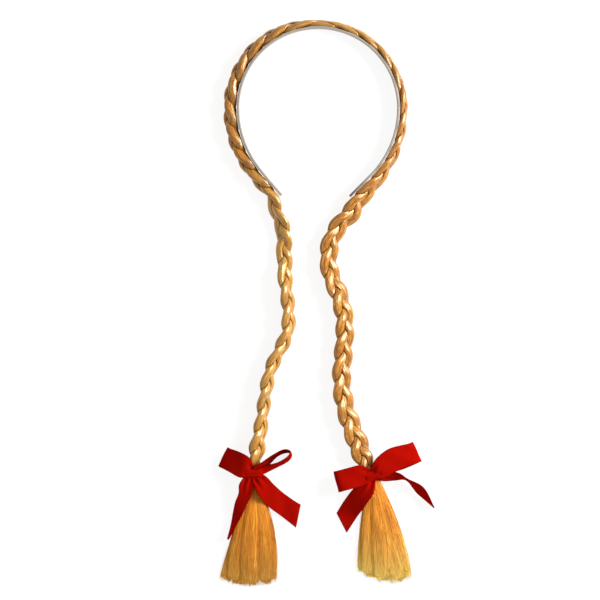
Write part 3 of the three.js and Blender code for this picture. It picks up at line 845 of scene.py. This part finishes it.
# %% Tables of the bows
# heading of the strip in degrees from +X, slant of its cut end, rows of (out, side, up, wide, twist)
LEFT_BOW_STRIPS = [
    (153, 0, [
        (2, -0.5, 12, 0.6, 0),
        (8.5, -1, 14.4, 1.06, -8),
        (17, -1.4, 12, 1.1, -14),
        (25, -0.8, 8.2, 1.03, -15),
        (27.5, -0.8, 6.2, 1.03, -15),
        (24.5, -0.6, 5, 1.03, -15),
        (17, -0.4, 6, 0.9, -10),
        (9, 0, 8.2, 0.6, 0),
        (3, 0, 9.6, 0.45, 0),
    ]),
    (28, 0, [
        (2, 1, 12.4, 0.4, 30),
        (10, 1.6, 10.6, 0.66, 60),
        (21, 4, 9, 0.96, 76),
        (30.5, 3.6, 8.8, 1, 79),
        (34.5, 0.4, 8.8, 1, 79),
        (30.5, -2.8, 8.8, 1, 79),
        (20.5, -3, 8.9, 0.95, 76),
        (10, -1.8, 9.9, 0.66, 60),
        (3, -1, 11.6, 0.4, 40),
    ]),
    (-102, 0, [
        (3, -2, 12, 0.5, 0),
        (11, -3.2, 12, 0.7, 4),
        (18, -2.9, 11, 0.62, 8),
        (26, -4.6, 9.6, 0.58, 16),
        (40, -6.2, 7.2, 0.52, 52),
        (56, -8.8, 5, 0.52, 84),
    ]),
    (-43.7, -10, [
        (2, 0, 12, 0.5, 0),
        (10, -1.2, 12.8, 0.8, -6),
        (18, -2.6, 10.8, 0.9, -8),
        (28, -2.8, 5.8, 0.95, -5),
        (38, -1.6, 1.7, 0.95, 0),
        (50, 0, 0.6, 0.94, 0),
    ]),
]
RIGHT_BOW_STRIPS = [
    (193, 0, [
        (0, -0.5, 12.4, 0.62, 0),
        (7, -1.6, 13.6, 0.98, 0),
        (17, -1.4, 14.8, 1, 4),
        (25.5, -1.2, 14.8, 1, 4),
        (28.2, -1, 10.8, 1, 2),
        (25, -0.8, 5.4, 1, 0),
        (18, -0.4, 6.8, 0.85, 0),
        (10, 0, 9.4, 0.55, 0),
        (3, 0, 9.8, 0.45, 0),
    ]),
    (26, 0, [
        (2, 0, 12.4, 0.58, 0),
        (9, 1.6, 14.8, 1, 8),
        (22, 3.4, 13.6, 1.12, 5),
        (37.5, 1.2, 9.8, 1, 0),
        (41.5, 0.8, 6.6, 1, 0),
        (37.5, 0.6, 4.2, 1, 0),
        (25, 0.5, 5.4, 0.9, 0),
        (12, 0.5, 8.4, 0.6, 0),
        (4, 0, 9.8, 0.45, 0),
    ]),
    (-122, 9, [
        (2, 1.5, 12, 0.5, 0),
        (10, 2, 12.6, 0.85, 6),
        (19, 1.4, 10.2, 0.95, 8),
        (28, 0.8, 5.4, 0.95, 6),
        (36, 0.6, 1.6, 0.92, 0),
        (45, 0.6, 0.6, 0.9, 0),
    ]),
    (-30.6, 0, [
        (3, 1, 10, 0.45, 20),
        (11, 5.5, 8.2, 0.62, 30),
        (19, 9.6, 7, 0.62, 50),
        (27, 11.4, 6.6, 0.6, 80),
        (41, 9.4, 6.2, 0.74, 54),
        (57, 3.3, 5, 0.5, 86),
    ]),
]
# place of the knot, turn of its lump in degrees, how far the lump sits aside
LEFT_KNOT = ((-52, -292), -4, 0)
RIGHT_KNOT = ((42, -293.5), 14, 2.5)

# %% [markdown]
# ## The bows
# Cloth keeps its width, so where a strip is gathered at the knot the spare width stands up in pleats.
# Their height follows from the width that has to go somewhere. Each strip is a grid of points with a
# front and a back skin. The wrap is a ring round the hair, and the knot a small pillow with creases along
# it.

# %% Helper: skins of ribbon
RIBBON_THICKNESS = 0.0005
STRIP_STEPS = 9
STRIP_COLUMNS = 28
PLEATS = 2.5
PLEAT_LIMIT = 0.0006
PLEAT_RUN = 0.018
FLUTTER = 0.00025
FLUTTER_LENGTH = 0.021
FLUTTER_LEAN = 5
CUT_RUN = 0.012


def grid_faces(rows, columns, closed_rows, closed_columns):
    """Four-sided faces between neighbours of a grid, which may close on itself either way."""
    faces = []
    for row in range(rows if closed_rows else rows - 1):
        for column in range(columns if closed_columns else columns - 1):
            ahead = (row + 1) % rows * columns
            beside = (column + 1) % columns
            faces.append((row * columns + column, row * columns + beside, ahead + beside, ahead + column))
    return faces


def level_axes(degrees):
    """The level direction at an angle from +X, and the one to its left."""
    angle = math.radians(degrees)
    ahead = np.array([math.cos(angle), math.sin(angle), 0])
    return ahead, np.array([-ahead[1], ahead[0], 0])


def strip_skin(knot, heading, slant, rows):
    """A closed skin round one strip: its points, faces and ribbon coordinates, and the strip's length."""
    shares = np.linspace(0, 1, STRIP_STEPS * (len(rows) - 1) + 1)
    rows = np.array(rows) * [MM, MM, MM, 1, 1]
    out, side, up, wide, twist = smooth_through(rows, shares).T[:, :, None]
    ahead, left = level_axes(heading)
    middle = np.array([*knot, 0]) + ahead * out + left * side + UP * up
    across = left * np.cos(np.radians(twist)) + UP * np.sin(np.radians(twist))
    face = unit(np.cross(np.gradient(middle, axis=0), across))
    steps = np.linalg.norm(np.diff(middle, axis=0), axis=1)
    along = np.concatenate([[0], np.cumsum(steps)])[:, None]
    column = np.linspace(-0.5, 0.5, STRIP_COLUMNS + 1)[None, :]
    spare = np.sqrt(np.maximum(1 / wide - 1, 0)) * np.clip(1 - out / PLEAT_RUN, 0, 1)
    pleat = np.minimum(RIBBON_WIDTH * wide / (math.pi * PLEATS) * spare, PLEAT_LIMIT)
    flutter = FLUTTER * np.sin(FULL_TURN * along / FLUTTER_LENGTH + FLUTTER_LEAN * column)
    lifted = pleat * np.cos(FULL_TURN * PLEATS * column) + flutter * np.minimum(wide, 1)
    cut = slant * MM * column * np.clip(1 - (along[-1] - along) / CUT_RUN, 0, 1)
    points = middle[:, None] + across[:, None] * (RIBBON_WIDTH * wide * column)[..., None]
    points = points + face[:, None] * lifted[..., None] + ahead * cut[..., None]
    half = face[:, None] * RIBBON_THICKNESS / 2
    ring = np.concatenate([points - half, (points + half)[:, ::-1]], axis=1)
    coordinates = np.broadcast_to(column * RIBBON_WIDTH, lifted.shape), np.broadcast_to(along, lifted.shape)
    flat = np.stack([*coordinates, np.zeros_like(lifted)], axis=-1)
    flat = np.concatenate([flat, flat[:, ::-1]], axis=1)
    count = ring.shape[1]
    faces = grid_faces(len(ring), count, False, True)
    half_count = count // 2
    for first, turned in ((0, False), ((len(ring) - 1) * count, True)):
        for step in range(half_count - 1):
            quad = (first + step, first + count - 1 - step, first + count - 2 - step, first + step + 1)
            faces.append(quad[::-1] if turned else quad)
    return ring.reshape(-1, 3), faces, flat.reshape(-1, 3), along[-1, 0]


# %% Helper: wrap and knot
WRAP_RADIUS = 0.0060
WRAP_PLY = 0.0011
WRAP_LENGTH = 0.009
WRAP_SIDES = 20
WRAP_FOLDS = 3
FOLD_DEPTH = 0.00018
FOLD_SWAY = 2
KNOT_HALF = (0.0078, 0.0048, 0.0031)
KNOT_RISE = 2 * WRAP_RADIUS - 0.0008
ROUND_STEPS = 64
KNOT_RINGS = 28
KNOT_END = 0.49
KNOT_PINCH = 0.12
CREASES = 5
CREASE_DEPTH = 0.07
CREASE_TWIST = 1.5


def round_steps(count):
    return np.linspace(0, FULL_TURN, count, endpoint=False)


def wrap_skin(knot, bound):
    """A ring of ribbon round the hair: a flattened tube that closes on itself, with fine folds across it."""
    turn = round_steps(ROUND_STEPS)[:, None]
    section = round_steps(WRAP_SIDES)[None, :]
    along = WRAP_LENGTH / 2 * np.sign(np.cos(section)) * np.abs(np.cos(section)) ** 0.5 + 0 * turn
    fold = FOLD_DEPTH * np.sin(FULL_TURN * along / WRAP_LENGTH * WRAP_FOLDS + FOLD_SWAY * np.sin(turn))
    radius = WRAP_RADIUS - WRAP_PLY / 2 + WRAP_PLY / 2 * np.sin(section) + fold * (np.sin(section) > 0)
    aside = np.cross(UP, bound)
    points = np.array([*knot, WRAP_RADIUS]) + bound * along[..., None]
    points = points + aside * (radius * np.cos(turn))[..., None] + UP * (radius * np.sin(turn))[..., None]
    flat = np.stack([along, radius * turn, 0 * along], axis=-1)
    return points.reshape(-1, 3), grid_faces(ROUND_STEPS, WRAP_SIDES, True, True), flat.reshape(-1, 3)


def knot_skin(knot, turned, offset):
    """A creased pillow over the crossing: rings along its length that shrink to a small cap at each end."""
    place = np.sin(np.linspace(-KNOT_END * math.pi, KNOT_END * math.pi, KNOT_RINGS))[:, None]
    round_turn = round_steps(ROUND_STEPS)[None, :]
    size = (1 - np.abs(place) ** 4) ** 0.25
    pinch = 1 - KNOT_PINCH * np.cos(math.pi * place)
    crease = 1 + CREASE_DEPTH * np.sin(2 * CREASES * round_turn + CREASE_TWIST * place)
    across, beside = level_axes(turned)
    middle = np.array([knot[0] + offset * MM, knot[1], KNOT_RISE])
    lengths = KNOT_HALF[0] * place + 0 * round_turn
    points = middle + across * lengths[..., None]
    points = points + beside * (KNOT_HALF[1] * size * pinch * crease * np.cos(round_turn))[..., None]
    points = points + UP * (KNOT_HALF[2] * size * crease * np.sin(round_turn))[..., None]
    faces = grid_faces(KNOT_RINGS, ROUND_STEPS, False, True)
    last = (KNOT_RINGS - 1) * ROUND_STEPS
    faces += [tuple(range(ROUND_STEPS))[::-1], tuple(range(last, last + ROUND_STEPS))]
    flat = np.stack([KNOT_HALF[1] * np.cos(round_turn) + 0 * lengths, lengths, 0 * lengths], axis=-1)
    return points.reshape(-1, 3), faces, flat.reshape(-1, 3)


# %% The two bows
BOUND_STEPS = 6


def bound_way(end, inner):
    """The level direction in which the plait runs into a bow."""
    return unit((plait["points"][end] - plait["points"][inner]) * [1, 1, 0])


def bow_piece(side, knot_row, strips, bound):
    name = f"{side}_bow_ribbon"
    place, turned, offset = knot_row
    knot = HEAD_MIDDLE[:2] + np.array(place) * MM
    skins = [strip_skin(knot, *strip) for strip in strips]
    length = sum(skin[3] for skin in skins) + FULL_TURN * WRAP_RADIUS + 2 * KNOT_HALF[0]
    skins += [wrap_skin(knot, bound), knot_skin(knot, turned, offset)]
    points = np.concatenate([skin[0] for skin in skins])
    starts = np.cumsum([0, *[len(skin[0]) for skin in skins]])
    faces = [tuple(start + i for i in face) for start, skin in zip(starts, skins) for face in skin[1]]
    mesh = bpy.data.meshes.new(name)
    mesh.from_pydata(points.tolist(), [], faces)
    flat = np.concatenate([skin[2] for skin in skins]).astype(np.float32)
    mesh.attributes.new("ribbon", "FLOAT_VECTOR", "POINT").data.foreach_set("vector", flat.ravel())
    mesh.polygons.foreach_set("use_smooth", [True] * len(mesh.polygons))
    mesh.materials.append(red_satin)
    bow = finished(name, mesh)
    hand_in(bow, f"{side}_bow")
    print(name, "ribbon", round(length, 3), "m long")
    return bow, length


left_bound = bound_way(0, BOUND_STEPS)
right_bound = bound_way(-1, -1 - BOUND_STEPS)
left_bow, left_ribbon = bow_piece("left", LEFT_KNOT, LEFT_BOW_STRIPS, left_bound)
right_bow, right_ribbon = bow_piece("right", RIGHT_KNOT, RIGHT_BOW_STRIPS, right_bound)

# %% [markdown]
# ## Tables of the tassels
# Below each bow the hair hangs loose in eight locks, five underneath and three on top. Each row gives a
# lock's tip from the knot, how far the lock bends out on the way, its half sizes, and the height of its
# middle and tip.

# %% Tables of the tassels
# tip x, tip y, bow, wide, deep, up, down
LEFT_TASSEL = [
    (-22.5, -86, 3, 5.2, 2, 2.6, 1.3),
    (-12, -89, -0.5, 6, 2.2, 3.8, 1.4),
    (-2, -90, 0, 6.2, 2.4, 4, 1.5),
    (8, -89, 2.5, 6, 2.2, 3.6, 1.4),
    (14.5, -87, 3, 4.6, 2, 2.8, 1.3),
    (-16.5, -87, 0, 4.8, 1.9, 5.4, 1.9),
    (-4, -89.5, -0.5, 5.4, 2.2, 6.2, 2.1),
    (10, -88, 3, 4.8, 1.9, 5.4, 1.9),
]
RIGHT_TASSEL = [
    (-6.2, -78, 1, 4.8, 2, 2.4, 1.3),
    (1, -82, 0.5, 5.6, 2.2, 2.8, 1.4),
    (11.5, -85, 2, 6, 2.4, 3.2, 1.5),
    (21, -86, 0.5, 5.8, 2.2, 2.8, 1.4),
    (29, -83, 1.8, 4.6, 2, 2.4, 1.3),
    (-2, -80, 0, 4.6, 1.9, 4.6, 1.9),
    (9, -84, 1.5, 5.2, 2.2, 5.4, 2.1),
    (23, -84.5, 0.5, 4.8, 1.9, 4.6, 1.9),
]

# %% [markdown]
# ## The tassels
# A lock is a bundle of hundreds of hairs. Modelling them all would be far too much, and a bare tube looks
# like plastic. So each lock gets a ridged body with ragged edges, and a coat of separate hairs around it.
# The hairs are copies of the lock's middle line. Each copy is moved to its own seeded place in the lock's
# section, drifts a little, and is cut off somewhere near the tip, so the ends come out uneven.

# %% Guide lines of the locks
LOCK_STEPS = 15
LOCK_BELLY = 0.55
LOCK_ROOT = 0.34
LOCK_TIP = 0.62
ROOT_AHEAD = 0.0005
ROOT_SPREAD = 0.1
ROOT_RISE = 0.0012
ROOT_DROP = 0.0008
LOCKS_UNDERNEATH = 5
LOCK_OVERLAP = 1.3
TIP_FLAT = 0.85
TIP_REACH = 1.015


def lock_path(knot, bound, number, row):
    x, y, bow, wide, deep, up, down = np.array(row) * MM
    root = np.array([*knot, WRAP_RADIUS]) + bound * ROOT_AHEAD
    tip = np.array([knot[0] + TIP_REACH * x, knot[1] + TIP_REACH * y, down])
    aside = unit(np.cross(UP, tip - root))
    belly = root + (tip - root) * LOCK_BELLY + aside * bow
    belly[2] = up
    root = root + aside * ROOT_SPREAD * x + UP * (-ROOT_DROP if number < LOCKS_UNDERNEATH else ROOT_RISE)
    shares = np.linspace(0, 1, LOCK_STEPS)
    points = smooth_through([root, belly, tip], shares)
    ahead = unit(np.gradient(points, axis=0))
    across = unit(np.cross(UP, ahead))
    swell = np.sin(math.pi / 2 * np.minimum(shares / LOCK_BELLY, 1))
    thin = np.maximum(0, (shares - LOCK_BELLY) / (1 - LOCK_BELLY))
    size = LOCK_ROOT + (1 - LOCK_ROOT) * swell - (1 - LOCK_TIP) * thin**2
    return {
        "points": points,
        "across": across,
        "above": np.cross(ahead, across),
        "wide": LOCK_OVERLAP * wide * size,
        "deep": deep * size * (1 - TIP_FLAT * shares**3),
        "share": shares,
        "lock": np.full(LOCK_STEPS, float(number)),
    }


# %% Tree: a tassel
BODY_SIDES = 48
HAIR_SIDES = 3
LOCK_STREAKS = 2.5
LOCK_SHIFT = 3.7
PALE_POWER = 2.4
BODY_SHADE = 0.02
# scale, detail and roughness of two noises: the ridges of a lock, and the tufts at its end
LOCK_RIDGES = (3.0, 2.0, 0.6)
LOCK_TUFTS = (16.0, 1.0, 0.5)
KEYS_IN_A_LOCK = 1000.0


def tassel_tree():
    sketch = Sketch("tassel hair")
    hairs = sketch.input("Hairs in a lock", 230)
    thickness = sketch.input("Hair radius", 0.00013)
    drift = sketch.input("Drift", 1.5)
    shortest = sketch.input("Shortest hair", 0.93)
    body_length = sketch.input("Body length", 0.96)
    pale = sketch.input("Pale tips", 0.5)
    ragged_tip = sketch.input("Ragged tip", 0.018)
    seed = sketch.input("Seed", 5)
    material = sketch.input("Material", loose_hair)
    share = sketch.number("share")
    lock = sketch.number("lock")
    tip = pale * share**PALE_POWER
    down_lock = share * LOCK_STREAKS

    def in_lock(x, y, ahead=0.0):
        """A place in the lock's section, in shares of its half sizes, moved ahead by a length."""
        aside = sketch.number("wide") * x
        rise = sketch.number("deep") * y
        return sketch.placed(across=aside, above=rise, comb=ahead)

    line = sketch.store(sketch.path(), comb=sketch.node("InputTangent"))
    core = sketch.node("TrimCurve", line, True, 0.0, body_length, mode="FACTOR")
    body = sketch.tube(core, BODY_SIDES)
    rim = sketch.arrow("rim")
    rim_x, rim_y = sketch.split(rim)
    streak = rim + sketch.combined(lock * LOCK_SHIFT, 0.0, down_lock)
    swell = sketch.node("ShaderNodeTexNoise", streak, *LOCK_RIDGES) * 0.6 + 0.65
    tuft = sketch.node("ShaderNodeTexNoise", sketch.combined(rim_x, lock, 0.0), *LOCK_TUFTS)
    to_end = share / body_length
    ragged = (tuft - 0.55) * to_end**4.0
    flat = 1.0 - to_end**6.0 * 0.9
    moved = in_lock(rim_x * swell, rim_y * flat * swell, ragged * ragged_tip)
    body = sketch.node("SetPosition", body, True, moved)
    body = sketch.store(body, streak=streak, pressed=BODY_SHADE, pale=tip)

    coat, index = sketch.outputs("DuplicateElements", line, True, hairs, domain="SPLINE")
    key = index + lock * KEYS_IN_A_LOCK

    def drawn(step, low, high):
        """A random number for each hair, from the draw of that step."""
        draw = seed + float(step)
        return sketch.node("FunctionNodeRandomValue", low, high, key, draw, data_type="FLOAT")

    angle = drawn(1, 0.0, FULL_TURN)
    radius = drawn(2, 0.8, 1.05).run("SQRT")
    on_way = sketch.combined(drawn(3, 0.0, 90.0), 0.0, share * 1.6)
    wander = sketch.outputs("ShaderNodeTexNoise", on_way, 1.0, 1.0)[1] - (0.5, 0.5, 0.5)
    stray = drawn(8, 0.0, 1.0) ** 8.0 * 2.5 + 0.7
    drift_x, drift_y = sketch.split(wander * (drift * stray * share))
    moved = in_lock(radius * angle.run("COSINE") + drift_x, radius * angle.run("SINE") + drift_y)
    paler = drawn(5, 0.0, 0.14) + tip * drawn(6, 0.7, 1.4)
    coat = sketch.store(
        coat,
        streak=sketch.combined(drawn(4, 0.0, 40.0), 0.0, down_lock),
        pressed=drawn(5, 0.0, 0.03),
        pale=paler.run("MINIMUM", 1.0),
    )
    coat = sketch.node("SetPosition", coat, True, moved)
    length = shortest + drawn(7, 0.0, 1.0) ** 1.4 * (1.0 - shortest)
    coat = sketch.node("TrimCurve", coat, True, 0.0, length, mode="FACTOR")
    taper = 1.0 - share**3.0 * 0.6
    section = sketch.node("CurvePrimitiveCircle", HAIR_SIDES, 1.0, mode="RADIUS")
    coat = sketch.node("CurveToMesh", coat, section, taper * thickness, True)
    sketch.end(sketch.joined(body, coat), material)
    return sketch


# %% The two tassels
tassel_hair = tassel_tree()
TASSELS = {
    "left": (LEFT_KNOT, LEFT_TASSEL, left_bound, {"Pale tips": 0.4, "Seed": 5}),
    "right": (RIGHT_KNOT, RIGHT_TASSEL, right_bound, {"Pale tips": 1.0, "Seed": 31}),
}
for side, (knot_row, table, bound, values) in TASSELS.items():
    knot = HEAD_MIDDLE[:2] + np.array(knot_row[0]) * MM
    locks = [lock_path(knot, bound, number, row) for number, row in enumerate(table)]
    source = path_object(f"{side}_tassel_path", locks)
    tassel = grown(f"{side}_tassel_hair", source, tassel_hair, HAIR_VALUES, **values)
    hand_in(tassel, f"{side}_tassel")
